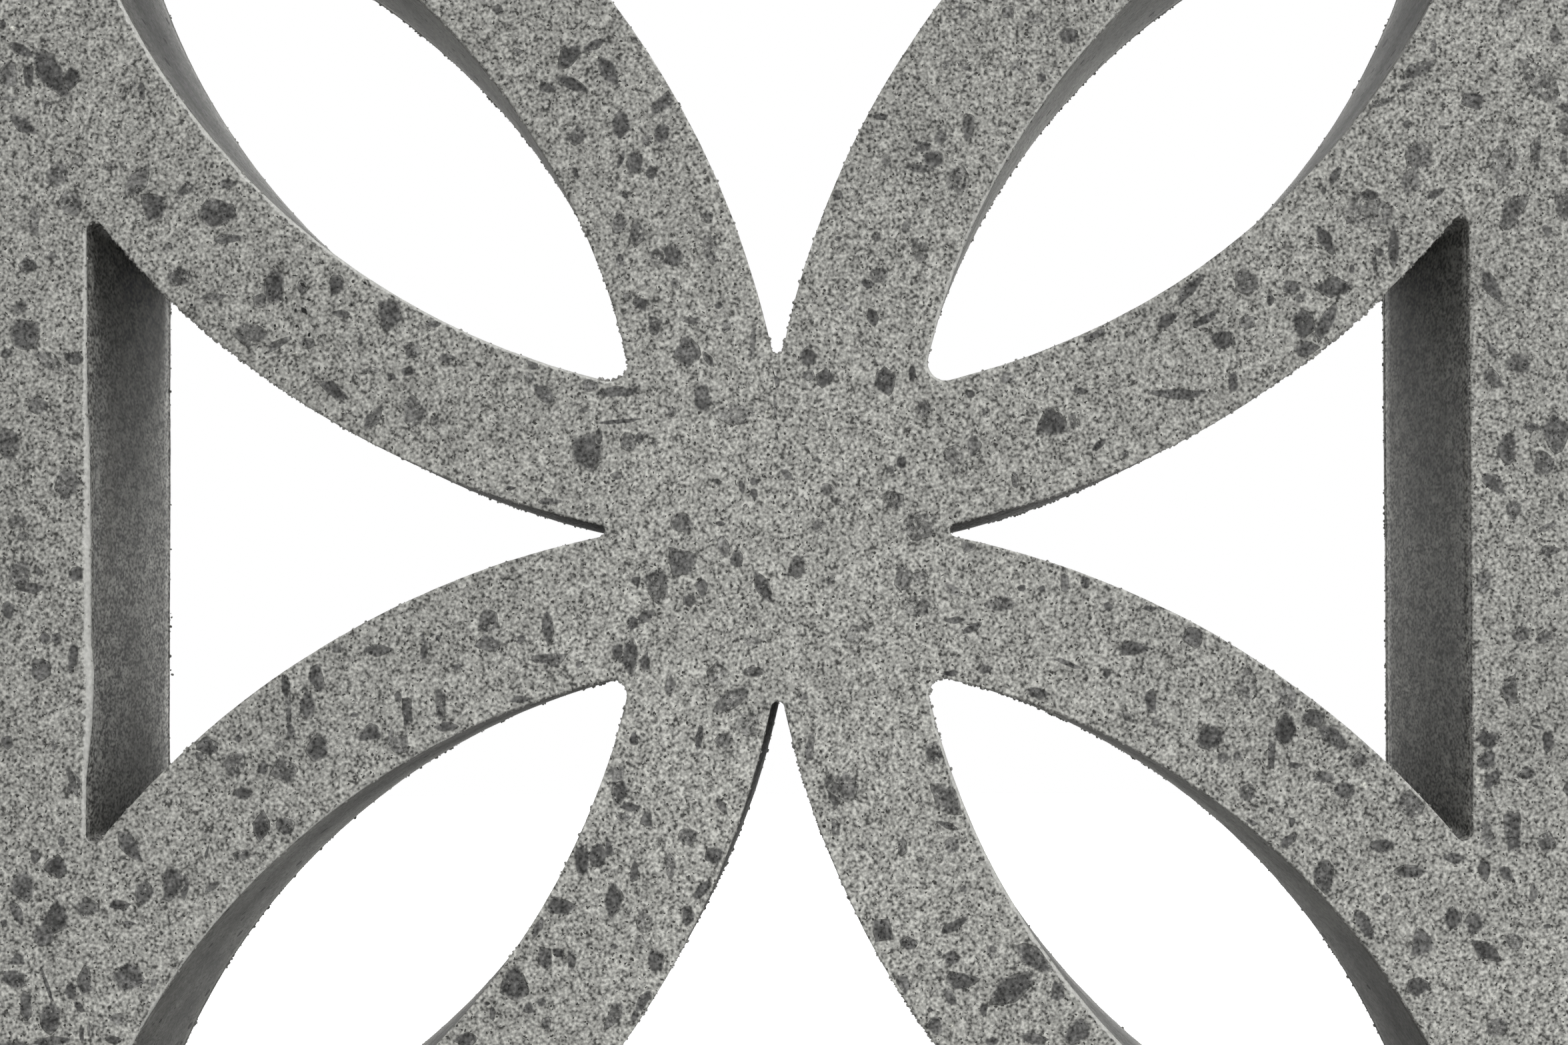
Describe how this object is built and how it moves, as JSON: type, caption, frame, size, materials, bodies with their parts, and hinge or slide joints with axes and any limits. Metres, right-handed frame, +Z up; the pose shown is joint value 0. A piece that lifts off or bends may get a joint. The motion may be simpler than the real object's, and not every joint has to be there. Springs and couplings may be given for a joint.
{
  "type": "breeze block",
  "caption": "Square cast concrete screen block: curved ribs cross at the middle of a plain frame and leave petal-shaped and three-sided openings right through.",
  "frame": {"origin": "middle of the lower bed face, halfway between front and back", "axes": "+Z up as the block is laid in a wall, -Y out of the decorated front face, +X to the right of a person facing it"},
  "size_m": [0.29, 0.09, 0.29],
  "materials": {
    "concrete": "as cast, rough, with exposed sand and stone chips"
  },
  "bodies": {
    "root": {"breeze_block": "concrete"}
  },
  "joints": []
}
